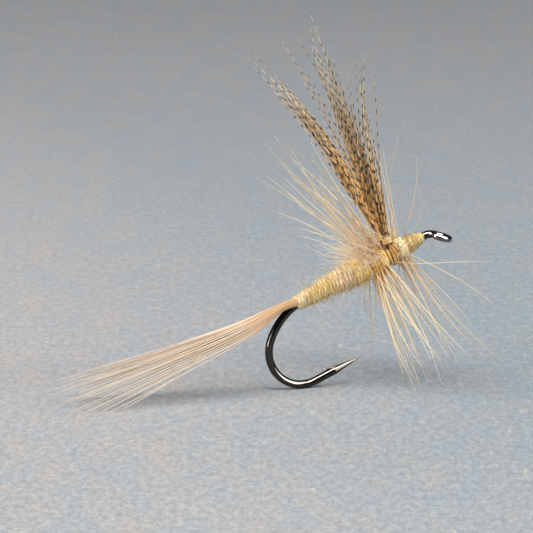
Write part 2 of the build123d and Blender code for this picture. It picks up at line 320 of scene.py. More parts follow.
def plied(crest, inset, turns, plies, ply_radius, twist, rough, folds, shift=0.0):
    """A yarn of several plies, wound round the shank. The twist is in radians to the millimetre."""
    core_x = helix(crest[0][0] + shift, crest[-1][0] + shift, turns, crest, inset)[:, 0]
    core_radius = crest_radius(crest, core_x) - inset
    count = len(core_x)
    angle = np.linspace(0, 2 * math.pi * turns, count)
    length = np.linspace(0, 1, count) * 2 * math.pi * turns * float(np.mean(core_radius))
    bundles = []
    for k in range(plies):
        roll = length * twist + 2 * math.pi * k / plies + wobble(count, 9, 0.25)
        offset = ply_radius * (1.15 + wobble(count, 7, rough))
        line = around(core_x + offset * np.sin(roll), core_radius + offset * np.cos(roll), angle)
        thick = np.clip(ply_radius * (1 + wobble(count, 6, rough * 1.2)), ply_radius * 0.5, None)
        bundles.append(tubes(line[None], thick, 5, folds=folds))
    return bundles


def revolved(crest, inset, seed, rough=0.0, folds=1):
    """A core round the shank under wound strands."""
    x = np.linspace(crest[0][0], crest[-1][0], 40)
    line = around(x, 0.0, 0.0)
    radii = crest_radius(crest, x) - inset + wobble(len(x), 3, rough)
    return tubes(line[None], radii, 28, seeds=seed, folds=folds)


# ---- materials


black, white = (0, 0, 0), (1, 1, 1)


class Shader:
    """Builds one node material."""

    def __init__(self, name, **constants):
        self.material = bpy.data.materials.new(name)
        self.material.use_nodes = True
        self.tree = self.material.node_tree
        self.surface = self.tree.nodes["Principled BSDF"]
        for socket, value in constants.items():
            self.surface.inputs[socket.replace("_", " ")].default_value = value

    def add(self, kind, inputs=None, **settings):
        node = self.tree.nodes.new("ShaderNode" + kind)
        for key, value in settings.items():
            setattr(node, key, value)
        for key, value in (inputs or {}).items():
            if isinstance(value, bpy.types.NodeSocket):
                self.tree.links.new(value, node.inputs[key])
            else:
                node.inputs[key].default_value = value
        return node

    def attribute(self, name):
        return self.add("Attribute", attribute_name=name).outputs["Fac"]

    def noise(self, per_mm, detail=2.0, roughness=0.5, where=None):
        where = where or self.add("TexCoord").outputs["Object"]
        return self.add("TexNoise", {"Vector": where, "Scale": per_mm / MM, "Detail": detail,
                                     "Roughness": roughness}).outputs["Fac"]

    def math(self, operation, first, second=0.0, third=0.0):
        return self.add("Math", {0: first, 1: second, 2: third}, operation=operation).outputs[0]

    def ramp(self, value, *stops):
        node = self.add("ValToRGB", {"Fac": value})
        elements = node.color_ramp.elements
        while len(elements) < len(stops):
            elements.new(0.5)
        for element, (position, colour) in zip(elements, stops):
            element.position = position
            element.color = (*colour, 1)
        return node.outputs["Color"]

    def mix(self, share, first, second, blend="MIX"):
        """Blends two colours, each of them three numbers or an output."""
        first, second = (c if isinstance(c, bpy.types.NodeSocket) else (*c, 1) for c in (first, second))
        return self.add("Mix", {0: share, 6: first, 7: second}, data_type="RGBA", blend_type=blend,
                        clamp_factor=True).outputs[2]

    def drive(self, socket, output):
        self.tree.links.new(output, self.surface.inputs[socket])

    def mottle(self, stops, seed_share, cloud_per_mm, cloud_share=1.0, shift=0.0):
        """Colour that changes from strand to strand by their seeds, and drifts along each."""
        cloud = self.math("MULTIPLY_ADD", self.noise(cloud_per_mm, 3.0), cloud_share, shift)
        value = self.math("MULTIPLY_ADD", self.attribute("seed"), seed_share, cloud)
        self.drive("Base Color", self.ramp(value, *stops))

    def bump(self, height, depth_mm, strength=1.0):
        node = self.add("Bump", {"Height": height, "Distance": depth_mm * MM, "Strength": strength})
        self.drive("Normal", node.outputs["Normal"])


def hook_material():
    """Black nickel plating, bare and bright round the eye."""
    shader = Shader("black nickel wire", Metallic=1.0)
    cloud = shader.noise(3.0, 3.0)
    plating = shader.ramp(cloud, (0.3, (0.056, 0.049, 0.042)), (0.7, (0.074, 0.065, 0.057)))
    bare = shader.ramp(shader.attribute("along"), (0.80, black), (0.85, white))
    shader.drive("Base Color", shader.mix(bare, plating, (0.2, 0.185, 0.175)))
    shader.drive("Roughness", shader.ramp(cloud, (0.3, (0.05,) * 3), (0.75, (0.08,) * 3)))
    shader.bump(shader.noise(14.0, 3.0), 0.0002)
    return shader.material


def dubbing_material(name, deep_tone_and_groove_shade, body, light):
    """Soft twisted fur: colour changes between hairs, and painted shade darkens the core in the grooves.
    """
    shader = Shader(name, Roughness=0.75, Sheen_Weight=0.25, Sheen_Roughness=0.4,
                    Subsurface_Weight=0.12, Subsurface_Scale=0.0001)
    shader.mottle(((0.1, deep_tone_and_groove_shade), (0.4, body), (0.72, light)), 0.55, 4.5, 0.6, -0.08)
    shader.bump(shader.noise(30.0, 2.0), 0.006)
    return shader.material


def fibre_material(name, root, middle, tip, roughness, dark_share, dark=(0.3, 0.18, 0.09),
                   root_share=0.0, darkest=(0.84, 0.8, 0.74)):
    """A stiff glossy fibre whose colour runs from root to tip, and varies from fibre to fibre.

    dark_share is how strong its dark streaks are, and darkest the tone of the darkest fibre.
    """
    shader = Shader(name, Roughness=roughness, Specular_IOR_Level=0.3, Subsurface_Weight=0.4,
                    Subsurface_Radius=(1.0, 0.8, 0.6), Subsurface_Scale=0.0002, Sheen_Weight=0.05)
    colour = shader.ramp(shader.attribute("along"), (root_share, root), (root_share + 0.2, middle),
                         (0.95, tip))
    tone = shader.ramp(shader.attribute("seed"), (0.0, darkest), (0.5, white),
                       (1.0, (1.1, 1.09, 1.06)))
    colour = shader.mix(1.0, colour, tone, "MULTIPLY")
    streak = shader.ramp(shader.noise(2.2, 2.0), (0.58, black), (0.8, white))
    share = shader.math("MULTIPLY", streak, dark_share)
    shader.drive("Base Color", shader.mix(share, colour, dark))
    shader.bump(shader.noise(22.0, 1.0), 0.002)
    return shader.material


def wing_material():
    """Tan flank fibre with black-brown bars at even steps along each fibre."""
    bars_per_mm = 1.64
    shader = Shader("barred flank fibre", Roughness=0.45, Specular_IOR_Level=0.3, Subsurface_Weight=0.15,
                    Subsurface_Scale=0.0001, Sheen_Weight=0.05)
    seed = shader.attribute("seed")
    along = shader.attribute("along")
    distance = shader.attribute("distance")
    jitter = shader.math("MULTIPLY_ADD", seed, 0.92, shader.math("MULTIPLY", shader.noise(1.0), 0.6))
    phase = shader.math("FRACT", shader.math("MULTIPLY_ADD", distance, bars_per_mm, jitter))
    bar = shader.ramp(phase, (0.0, black), (0.08, white), (0.32, white), (0.42, black))
    ground = shader.ramp(along, (0.0, (0.3, 0.16, 0.085)), (0.2, (0.54, 0.34, 0.16)),
                         (0.45, (0.76, 0.45, 0.15)), (0.75, (0.69, 0.51, 0.3)), (1.0, (0.6, 0.53, 0.42)))
    shuffled = shader.math("FRACT", shader.math("MULTIPLY", seed, 7.0))
    outer_tone = shader.ramp(shuffled, (0.0, (0.72, 0.64, 0.55)), (0.3, (0.9, 0.87, 0.82)),
                             (0.6, white), (1.0, (1.25, 1.23, 1.2)))
    # At the foot some fibres are far darker than others: tone that differs from fibre to fibre, and
    # painted shade between the crowded fibres.
    foot_tone_and_shade = shader.ramp(shuffled, (0.0, (0.1, 0.07, 0.05)), (0.3, (0.6, 0.5, 0.4)),
                            (0.5, (1.25, 1.2, 1.2)), (1.0, (2.0, 1.9, 1.9)))
    height = shader.ramp(along, (0.2, black), (0.5, white))
    ground = shader.mix(1.0, ground, shader.mix(height, foot_tone_and_shade, outer_tone), "MULTIPLY")
    broken = shader.ramp(shader.noise(3.0, 1.0), (0.34, (0.4, 0.4, 0.4)), (0.5, (0.97, 0.97, 0.97)))
    barred = shader.math("MULTIPLY", bar, broken)
    bar_colour = shader.mix(height, (0.09, 0.042, 0.02), (0.045, 0.028, 0.018))
    shader.drive("Base Color", shader.mix(barred, ground, bar_colour))
    shader.bump(shader.noise(25.0, 1.0), 0.002)
    return shader.material


def thread_material(name, shade, body, light, roughness=0.45, coat=0.0):
    """Waxed tying thread, its shade drifting along it."""
    shader = Shader(name, Roughness=roughness, Coat_Weight=coat, Coat_Roughness=0.06,
                    Sheen_Weight=0.15, Subsurface_Weight=0.2, Subsurface_Scale=0.0003)
    shader.mottle(((0.25, shade), (0.5, body), (0.78, light)), 0.35, 6.0, 0.75)
    shader.bump(shader.noise(28.0, 2.0), 0.004)
    return shader.material


def stem_material(name, painted_gap_shade, body, light):
    """Wound quill; its darkest colour, on the core and thread between turns, is painted gap shade."""
    shader = Shader(name, Roughness=0.3, Coat_Weight=0.3, Coat_Roughness=0.15,
                    Subsurface_Weight=0.15, Subsurface_Scale=0.0003)
    shader.mottle(((0.35, painted_gap_shade), (0.68, body), (1.0, light)), 0.5, 4.0)
    shader.bump(shader.noise(20.0, 2.0), 0.004)
    return shader.material


def cement_material():
    """Clear varnish with a faint warm tint."""
    shader = Shader("clear head cement")
    shader.tree.nodes.remove(shader.surface)
    clear = shader.add("BsdfTransparent", {"Color": (0.98, 0.95, 0.86, 1)}).outputs[0]
    lumps = {"Height": shader.noise(6.0, 2.0), "Distance": 0.008 * MM}
    normal = shader.add("Bump", lumps).outputs["Normal"]
    gloss = shader.add("BsdfGlossy", {"Roughness": 0.06, "Normal": normal}).outputs[0]
    outside = shader.math("SUBTRACT", 1.0, shader.add("NewGeometry").outputs["Backfacing"])
    fresnel = shader.add("Fresnel", {"IOR": 1.5, "Normal": normal}).outputs[0]
    share = shader.math("MULTIPLY", fresnel, outside)
    coat = shader.add("MixShader", {0: share, 1: clear, 2: gloss}).outputs[0]
    output = shader.tree.nodes["Material Output"]
    shader.tree.links.new(coat, output.inputs["Surface"])
    return shader.material


# ---- the hook


def arc(centre, radius, start, end, step):
    """Points on an arc in the plane of the hook, its angles in radians from forward to up."""
    angle = np.linspace(start, end, max(3, int(abs(end - start) * radius / step)))
    x = centre[0] + radius * np.cos(angle)
    z = centre[2] + radius * np.sin(angle)
    return np.stack([x, 0 * angle, z], 1)


def straight(start, end, step=0.08):
    return np.linspace(start, end, max(3, int(math.dist(start, end) / step)))


def hook_line():
    """Centre line and radius of the wire from its point, round the bend, to the end of the eye."""
    bend = bend_centre()
    heel_turn = math.acos((heel_radius + bend[2]) / (heel_radius - bend_radius))
    tip_x = bend[0] + spear_length
    taper_x = tip_x - point_length
    heel_centre = np.array([0, 0, -heel_radius])
    neck_centre = np.array([shank_length, 0, -neck_radius])
    sine, cosine = math.sin(eye_angle), math.cos(eye_angle)
    neck_end = np.array([shank_length + neck_radius * sine, 0, -neck_radius * (1 - cosine)])
    forward = np.array([cosine, 0, -sine])
    centre = neck_end + forward * (eye_ring_radius + 0.01)
    ring_start, ring_end = math.radians(148), math.radians(-163)
    turn = np.linspace(ring_start, ring_end, 60)
    ring = centre + eye_ring_radius * (
        np.cos(turn)[:, None] * forward + np.sin(turn)[:, None] * np.array([0, 1.0, 0]))
    half_pi = math.pi / 2
    pieces = [
        straight((tip_x, 0, -gap), (taper_x, 0, -gap), 0.04),
        straight((taper_x, 0, -gap), (bend[0], 0, -gap))[1:],
        arc(bend, bend_radius, -half_pi, half_pi + heel_turn - 2 * math.pi, 0.04)[1:],
        arc(heel_centre, heel_radius, half_pi + heel_turn, half_pi, 0.06)[1:],
        straight((0, 0, 0), (shank_length, 0, 0))[1:],
        arc(neck_centre, neck_radius, half_pi, half_pi - eye_angle * 0.8, 0.03)[1:],
    ]
    lead = smooth_curves(np.stack([pieces[-1][-2], pieces[-1][-1], ring[0], ring[1]])[None], 24)[0]
    wire_end = len(np.concatenate(pieces))
    line = np.concatenate(pieces + [lead[8:-8], ring])
    x = line[:, 0]
    radii = np.full(len(line), wire_radius)
    tapered = np.arange(len(line)) < len(pieces[0])
    share = (tip_x - x[tapered]) / point_length
    radii[tapered] = point_tip_radius + (wire_radius - point_tip_radius) * share ** 0.93
    radii[wire_end:] = np.linspace(wire_radius * 0.95, eye_wire_radius, len(line) - wire_end)
    radii[-6:] = eye_wire_radius * np.linspace(1, 0.55, 6)
    return line, radii


def make_hook():
    """Bent wire with its point, small barb and turned-down eye."""
    line, radii = hook_line()
    barb_root_radius, barb_tip_radius, barb_rings = 0.1, 0.012, 14
    past_taper = 0.12
    root_x = bend_centre()[0] + spear_length - point_length + past_taper
    root = np.array([root_x, 0, wire_radius * 0.55 - gap])
    barb = np.array([
        root, root + (-0.16, 0, 0.055), root + (-barb_length * 0.6, 0, barb_lift * 0.5),
        root + (-barb_length, 0, barb_lift)])
    barb = smooth_curves(barb[None], barb_rings)
    barb_radii = np.linspace(barb_root_radius, barb_tip_radius, barb_rings)
    bundles = [tubes(line[None], radii, 28, seeds=0.5, folds=24),
               tubes(barb, barb_radii, 10, seeds=0.5)]
    wire = place_strands("hook_wire", bundles, hook_material(), "hook_steel", "hook")
    add_hook_glints(wire)
    add_front_fill(wire)


# ---- tail


def make_tail():
    """Stiff fibres in a narrow fan, their butts laid over the top and sides of the shank."""
    reseed(1)
    count, rings = 64, 46
    share = np.linspace(0, 1, count)
    angle = np.radians(-118 + 236 * share + spread(-4, 4, count))
    lift = 4.2 + 3.6 * np.cos(angle * 1.25) + spread(-1.5, 1.5, count)
    droop = 4.0 - 4.0 * np.cos(angle * 1.25)
    side = -8 + 16 * share + spread(-1.6, 1.6, count)
    length = spread(11.3, 13.6, count)
    butt = around(0.4, tail_butt_radius, angle)
    tie = around(-0.3, tail_butt_radius - 0.01, angle)
    fan = np.stack([np.full(count, -0.85), tie[:, 1] * 0.9, 0.13 + tie[:, 2] * 0.78], 1)

    def heading(up, across):
        up, across = np.radians(up), np.radians(across)
        return unit(np.stack([-np.cos(up), np.sin(across), np.sin(up)], 1))

    near = fan + heading(lift * 0.5 - droop, side * 0.6) * (length * 0.2)[:, None]
    middle = near + heading(lift * 0.95, side * 0.9) * (length * 0.35)[:, None]
    tip = middle + heading(lift * 1.35 + 0.5, side * 1.05) * (length * 0.42)[:, None]
    middle += spread(-0.05, 0.05, (count, 3))
    points = smooth_curves(np.stack([butt, tie, fan, near, middle, tip], 1), rings)
    points = lift_off_floor(points, 0.03)
    radii = np.interp(np.linspace(0, 1, rings), (0, 0.1, 0.4, 0.8, 1), (0.029, 0.029, 0.026, 0.018, 0.006))
    radii = radii * spread(0.8, 1.12, (count, 1))
    material = fibre_material("honey tail fibre", (0.74, 0.42, 0.2), (0.79, 0.59, 0.43),
                              (0.7, 0.6, 0.5), roughness=0.4, dark_share=0.5, root_share=0.14,
                              darkest=(0.55, 0.46, 0.38))
    fibres = [tubes(points, radii, 6)]
    place_strands("tail_fibre_bundle", fibres, material, "tail_fibre", "tail_fibres")


def make_tail_wraps():
    """Pale turns of loose yarn that hold the tail down."""
    reseed(2)
    bundles = plied(tail_wraps_crest, 0.05, 5.0, 3, 0.037, 7.0, 0.25, folds=12, shift=0.05)
    bundles.append(fuzz(tail_wraps_crest, 160, (0.1, 0.3), (0.0, 0.5), 0.008))
    # The core's low seed gives it a darker colour: painted shade in the grooves between the turns.
    bundles.append(revolved(tail_wraps_crest, 0.075, seed=0.2, rough=0.004))
    material = dubbing_material("pale tying yarn", (0.54, 0.37, 0.16), (0.84, 0.7, 0.44),
                                (1.0, 0.97, 0.88))
    place_strands("tail_binding_yarn", bundles, material, "pale_thread", "tail_tie_wraps")


# ---- body


def fuzz(crest, count, lengths, lift, radius, slant_range=0.35):
    """Short fine hairs that lie round the body with the winding and stand a little off it."""
    x = spread(crest[0][0], crest[-1][0], count)
    angle = spread(0, 2 * math.pi, count)
    length = spread(*lengths, count)
    way = np.where(spread(0, 1, count) < 0.7, 1.0, -1.0)
    root = around(x, crest_radius(crest, x) - 0.05, angle)
    outward = around(0.0, 1.0, angle)
    onward = around(0.0, 1.0, angle + math.pi / 2) * way[:, None]
    slant = along_shank * spread(-slant_range, slant_range, count)[:, None]
    rise = spread(*lift, count) ** 2
    control = []
    for share in (0.0, 0.35, 0.7, 1.0):
        fall = 0.45 * share ** 2 * length / crest_radius(crest, x)
        out = (0.04 + rise * share * 1.2) - fall * (1 - rise)
        step = (onward + slant * (1 + share)) * (length * share)[:, None]
        control.append(root + step + outward * (out * length)[:, None])
    control = np.stack(control, 1)
    control[:, 1:] += spread(-0.02, 0.02, (count, 3, 3))
    points = smooth_curves(control, 6)
    radii = np.array([1, 1, 0.9, 0.8, 0.6, 0.3]) * spread(0.6, 1.2, (count, 1)) * radius
    return tubes(points, radii, 3)


def dubbed(name, crest, turns, hairs, material, slot, node):
    """One stretch of the body: a twisted rope of fur wound over a core, with hairs standing off it."""
    reseed(3)
    bundles = plied(crest, 0.07, turns, 4, 0.04, 6.5, 0.3, folds=int(turns * 3))
    # The core's low seed gives it a darker colour: painted shade in the grooves between the turns.
    bundles.append(revolved(crest, 0.10, seed=0.1, rough=0.012, folds=4))
    bundles.append(fuzz(crest, hairs, (0.1, 0.38), (0.0, 0.72), 0.01))
    bundles.append(fuzz(crest, hairs // 5, (0.2, 0.55), (0.4, 1.0), 0.007, 0.9))
    place_strands(name, bundles, material, slot, node)


def make_body():
    yellow = dubbing_material("yellow fur", (0.4, 0.24, 0.04), (0.73, 0.51, 0.18), (0.88, 0.72, 0.42))
    cream = dubbing_material("peach cream fur", (0.44, 0.25, 0.09), (0.78, 0.54, 0.28), (0.9, 0.72, 0.48))
    gold = dubbing_material("gold fur", (0.55, 0.31, 0.06), (1.0, 0.68, 0.23), (1.0, 0.88, 0.5))
    dubbed("rear_body_fur", rear_body_crest, 9.0, 1100, yellow, "yellow_dubbing", "rear_body_dubbing")
    dubbed("middle_body_fur", middle_body_crest, 6.3, 900, cream, "cream_dubbing", "middle_body_dubbing")
    dubbed("front_body_fur", front_body_crest, 5.0, 800, gold, "gold_dubbing", "front_body_dubbing")


def make_guard_hairs():
    """Single pale hairs that hang and curl off the body."""
    reseed(4)
    count, rings = 20, 16
    crest = ((-0.5, 0.37), (1.58, 0.47), (2.69, 0.62), (3.57, 0.62))
    x = spread(-0.4, 3.5, count)
    angle = golden_angle * np.arange(count)
    angle[:6] = spread(math.radians(150), math.radians(230), 6)
    root = around(x, crest_radius(crest, x), angle)
    length = spread(0.35, 1.15, count)[:, None]
    out = unit(around(spread(-0.8, 0.4, count), 1.0, angle))
    middle = root + (out + spread(-0.25, 0.25, (count, 3))) * length * 0.5
    tip = root + (out - world_up * 0.35 + spread(-0.3, 0.3, (count, 3))) * length
    points = smooth_curves(np.stack([root - out * 0.1, root, middle, tip], 1), rings)
    radii = np.linspace(0.012, 0.005, rings) * spread(0.7, 1.15, (count, 1))
    material = fibre_material("pale guard hair", (0.8, 0.66, 0.4), (0.86, 0.74, 0.55), (0.9, 0.82, 0.68),
                              roughness=0.4, dark_share=0.0)
    hairs = [tubes(points, radii, 5)]
    place_strands("body_guard_hairs", hairs, material, "guard_hair", "dubbing_guard_hairs")


# ---- wings


def wing_direction(lean, side):
    """Unit headings leaning back from square to the shank, and to the left, in degrees."""
    lean, side = np.radians(lean), np.radians(side)
    return unit(np.stack(np.broadcast_arrays(-np.tan(lean), np.tan(side), 1.0), -1))


def wing_foot(side):
    return np.array([wing_stand, side * wing_side_offset, 0])


def wing_control(side, lean, base_lean, side_lean, length, order, curl):
    """Control points of a wing's fibres from the butt on the shank to the tip.

    order is each fibre's place in the bundle, counted out from its middle.
    """
    fibre_pitch, butt_radius, corner_x = 0.021, 0.34, 4.72
    count = len(length)
    reach = fibre_pitch * np.sqrt(order + 0.5)
    turn = golden_angle * order
    cell = np.stack([reach * np.cos(turn), reach * np.sin(turn), 0 * turn], 1)
    low = wing_direction(base_lean, side * wing_splay)
    butt_angle = side * np.radians(spread(6, 110, count))
    butt = around(spread(4.2, 4.3, count), butt_radius, butt_angle)
    corner = around(corner_x, butt_radius, butt_angle)
    fold = wing_foot(side) + cell + low * wing_fold_height
    post = wing_foot(side) + cell + low * wing_post_height
    rising = wing_direction(base_lean * 0.7 + lean * 0.3, side_lean * 0.8 + side * wing_splay * 0.2)
    third = post + cell * 1.3 + rising * (length * 0.3)[:, None]
    two_thirds = third + wing_direction(lean, side_lean) * (length * 0.35)[:, None]
    tip = two_thirds + wing_direction(lean + curl, side_lean + side) * (length * 0.35)[:, None]
    third += spread(-0.05, 0.05, (count, 3))
    two_thirds += spread(-0.07, 0.07, (count, 3))
    return np.stack([butt, corner, fold, post, third, two_thirds, tip], 1)


def make_wing(name, node, side, material, groups, base_lean, curved):
    """One upright wing from groups of fibres.

    A group is (count, lean range, side lean range, length range, curl at the tip). In a curved
    wing the fibres share one bend, so a short fibre has only the lower part of it.
    """
    reseed(20 + side)
    rings = 60
    bundles = []
    placed = 0
    for count, leans, sides, lengths, curl in groups:
        order = placed + np.arange(count)
        lean = spread(*leans, count)
        side_lean = side * spread(*sides, count)
        length = spread(*lengths, count)
        bend = length / 10 if curved else 1.0
        lean = base_lean + (lean - base_lean) * bend
        control = wing_control(side, lean, base_lean, side_lean, length, order, curl * bend)
        points = smooth_curves(control, rings)
        radii = np.interp(np.linspace(0, 1, rings), (0, 0.12, 0.5, 0.85, 1),
                          (0.024, 0.027, 0.029, 0.024, 0.01))
        bundles.append(tubes(points, radii * spread(0.8, 1.15, (count, 1)), 6))
        placed += count
    place_strands(name, bundles, material, "barred_wing", node)


def make_wings():
    material = wing_material()
    make_wing("right_wing_flank", "right_wing_fibres", -1, material, [
        (40, (-4.2, 1.6), (6.5, 11.5), (4.5, 10.6), 0.0),
        (6, (-1.4, 0.8), (8.0, 10.0), (11.0, 13.0), 0.0),
        (5, (3.0, 6.5), (7.0, 11.0), (8.5, 11.0), 1.5),
        (2, (3.2, 4.2), (8.0, 9.0), (12.2, 12.8), 6.0),
        (26, (-10.5, -3.0), (6.0, 12.0), (4.0, 9.2), -1.0),
        (4, (-15.0, -13.0), (8.0, 10.0), (8.8, 10.3), -3.0),
    ], right_wing_lean, curved=False)
    make_wing("left_wing_flank", "left_wing_fibres", 1, material, [
        (32, (7.8, 8.4), (8.7, 9.3), (4.5, 9.8), 8.0),
        (5, (8.0, 8.5), (8.8, 9.2), (10.2, 11.5), 9.0),
        (3, (10.0, 12.0), (7.0, 11.0), (6.0, 9.0), 4.0),
        (4, (2.5, 6.0), (7.0, 11.0), (5.0, 9.0), 4.0),
    ], left_wing_lean, curved=True)


def post_thread(side, lean):
    """Turns of thread that climb the foot of one wing and come down again over themselves."""
    direction = wing_direction(lean, side * wing_splay)
    across = unit(np.cross(direction, [0, 1.0, 0]))
    other = np.cross(direction, across)
    thread_radius, steps_per_turn = 0.027, 28
    bundles = []
    for low, high, turns, radius, phase in ((0.78, 1.14, 7, 0.185, 0.0), (0.76, 1.0, 5, 0.21, 2.0)):
        count = turns * steps_per_turn
        angle = np.linspace(0, 2 * math.pi * turns, count) + phase
        height = np.linspace(low, high, count) + wobble(count, 14, 0.012)
        radius = radius * (1.05 - 0.3 * (height - low)) + wobble(count, 7, 0.009)
        line = wing_foot(side) + direction * height[:, None] + radius[:, None] * (
            np.cos(angle)[:, None] * across + np.sin(angle)[:, None] * other)
        bundles.append(tubes(line[None], thread_radius + wobble(count, 9, 0.003), 6, folds=10))
    return bundles


def crossing_loops():
    """Loops of thread that cross between the wings, each (degrees across the shank, radius)."""
    turns = ((27, 0.50), (-27, 0.52), (22, 0.55), (-31, 0.54), (12, 0.57), (-15, 0.58), (34, 0.58),
             (-37, 0.56), (5, 0.6), (-6, 0.59), (18, 0.61), (-21, 0.61), (41, 0.59))
    thread_radius = 0.034
    angle = np.linspace(0, 2 * math.pi, 80)[:, None]
    loops = []
    for slant, radius in turns:
        tilt = math.radians(slant + spread(-3, 3, 1)[0])
        axis = np.array([math.cos(tilt), math.sin(tilt), 0])
        beside = np.array([-math.sin(tilt), math.cos(tilt), 0])
        line = along_shank * wing_stand + radius * (
            np.sin(angle) * beside + np.cos(angle) * np.cross(axis, beside))
        loops.append(tubes(line[None], thread_radius, 6, seeds=spread(-0.25, 0.35, 1), folds=4))
    return loops


def make_wing_threads():
    """The thread round and between the wings, and its colour on the plain bindings below it."""
    reseed(6)
    gold = thread_material("gold tying thread", (0.48, 0.21, 0.04), (0.92, 0.57, 0.19), (1.0, 0.83, 0.46))
    for side, lean, label in ((-1, right_wing_lean, "right"), (1, left_wing_lean, "left")):
        turns = post_thread(side, lean)
        place_strands(f"{label}_post_thread", turns, gold, "thread", f"{label}_wing_post_wraps")
    place_strands("wing_crossing_thread", crossing_loops(), gold, "thread", "figure_eight_wraps")
    for node in ("thread_base", "butt_binding_wraps", "wing_brace_wraps"):
        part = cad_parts[node]
        part.data.materials.clear()
        part.data.materials.append(gold)


# ---- hackle


def barb_fan(count, stem, combing, sweeps, reach, order, bow=0.05, thick=1.0, rings=26):
    """Barbs that stand out from the wound stem, stopped where they press on the floor.

    combing says how they are shared out round the shank: (share of the barbs, degrees) points,
    with 0 degrees above the shank and 90 on the fly's left. sweeps holds ranges in degrees
    forward of square to the shank, for barbs above, beside and below the shank. reach is the
    range of their tips from its axis. order is how far the sweep follows the place on the stem,
    from 0 for a random sweep to 1, and bow how far a barb bends aside.
    """
    span, core_radius = stem
    margin = 0.04
    share = (np.arange(count) + 0.5) / count
    turn = golden_angle / (2 * math.pi) * np.arange(count) % 1
    angle = np.radians(np.interp(turn, *zip(*combing)) + spread(-9, 9, count))
    x = span[0] + margin + (span[1] - span[0] - 2 * margin) * share
    root_radius = core_radius + 2 * stem_radius - 0.05
    root = around(x, root_radius, angle)
    low, high = (np.interp(np.cos(angle), (-1, 0, 1), ends) for ends in zip(*reversed(sweeps)))
    lean = low + (high - low) * (order * share + (1 - order) * spread(0, 1, count))
    out = around(0.0, 1.0, angle + spread(-0.16, 0.16, count))
    direction = unit(out + along_shank * np.tan(np.radians(lean))[:, None])
    fall = np.maximum(-direction @ world_up, 1e-3)
    room = (floor_height(root) - floor_clearance) / fall
    length = np.minimum(spread(*reach, count) - root_radius, room)[:, None]
    aside = unit(np.cross(direction, along_shank)) * spread(-bow, bow, count)[:, None]
    aside = aside + along_shank * spread(-bow, bow, count)[:, None]
    near = root + direction * length * 0.3 + aside * length * 0.5
    middle = root + direction * length * 0.65 + aside * length * 0.7
    tip = root + direction * length
    return barbs(np.stack([root, near, middle, tip], 1), thick, rings)


def barbs(control, thick=1.0, rings=26):
    """Tapered tubes along the barbs' control points."""
    points = lift_off_floor(smooth_curves(control, rings), floor_clearance)
    radii = np.interp(np.linspace(0, 1, rings), (0, 0.15, 0.6, 1), (0.034, 0.031, 0.024, 0.007))
    return tubes(points, radii * spread(0.75, 1.15, (len(control), 1)) * thick, 5)


def make_hackle():
    """Long barbs and webby short ones behind and in front of the wings, thinner on the right side."""
    parted = ((0, -180), (0.28, -128), (0.36, -50), (0.56, 50), (1, 180))
    mostly_below = ((0, -180), (0.3, -128), (0.36, -40), (0.45, 50), (1, 180))
    upright = ((0, -20), (1, 10))
    swept_back = ((0, -72), (1, 100))
    ginger = fibre_material("cream ginger barb", (0.68, 0.39, 0.15), (0.77, 0.555, 0.345),
                            (0.77, 0.615, 0.43), roughness=0.28, dark=(0.6, 0.38, 0.2), dark_share=0.18)
    peach = fibre_material("peach down", (0.78, 0.46, 0.18), (0.92, 0.69, 0.46), (0.93, 0.77, 0.57),
                           roughness=0.5, dark_share=0.0)
    reseed(31)
    rear = [
        barb_fan(60, rear_stem, parted, ((-33, -8), (-14, 2), (-22, 14)), (6.0, 7.5), 0.3, bow=0.08),
        barb_fan(46, rear_stem, parted, ((-50, -16), (-35, 0), (-8, 14)), (1.5, 4.4), 0.5, thick=0.7),
        barb_fan(13, rear_stem, upright, ((-24, -5),) * 3, (6.4, 8.9), 0.2, bow=0.06, thick=1.2),
    ]
    place_strands("rear_hackle_fan", rear, ginger, "hackle_barb", "rear_hackle_barbs")
    reseed(32)
    down_stem = (rear_stem[0], binding_radius - 0.04)
    down = [
        barb_fan(330, down_stem, swept_back, ((-60, -22), (-66, -30), (-40, -10)), (1.1, 3.3), 0.3,
                 bow=0.35, thick=0.3, rings=12),
    ]
    place_strands("rear_hackle_down", down, peach, "hackle_barb", "rear_hackle_barbs")
    reseed(33)
    front = [
        barb_fan(36, front_stem, mostly_below, ((2, 28), (-8, 8), (-22, 30)), (6.0, 7.5), 0.2,
                 bow=0.08, thick=0.85),
        barb_fan(14, front_stem, mostly_below, ((-5, 35), (-5, 25), (0, 35)), (1.4, 3.6), 0.5,
                 thick=0.6),
        barbs(stray_barbs()),
    ]
    place_strands("front_hackle_fan", front, ginger, "hackle_barb", "front_hackle_barbs")


def stray_barbs():
    """Barbs out of the fan: one arching forward under the eye, the others across wings and body."""
    return np.array([
        [(4.75, -0.45, -0.25), (5.95, -0.9, -0.88), (7.49, -1.3, -1.5), (9.33, -1.5, -2.42)],
        [(5.3, -0.5, 0.1), (5.4, -1.5, 1.6), (5.6, -2.0, 3.4), (6.2, -2.2, 6.2)],
        [(5.5, -0.45, 0.2), (5.0, -1.2, 1.0), (4.2, -1.8, 2.0), (3.2, -2.2, 3.6)],
        [(5.0, -0.5, -0.3), (5.05, -0.6, -0.12), (5.5, -0.64, 0.08), (6.0, -0.57, 0.3)],
    ])


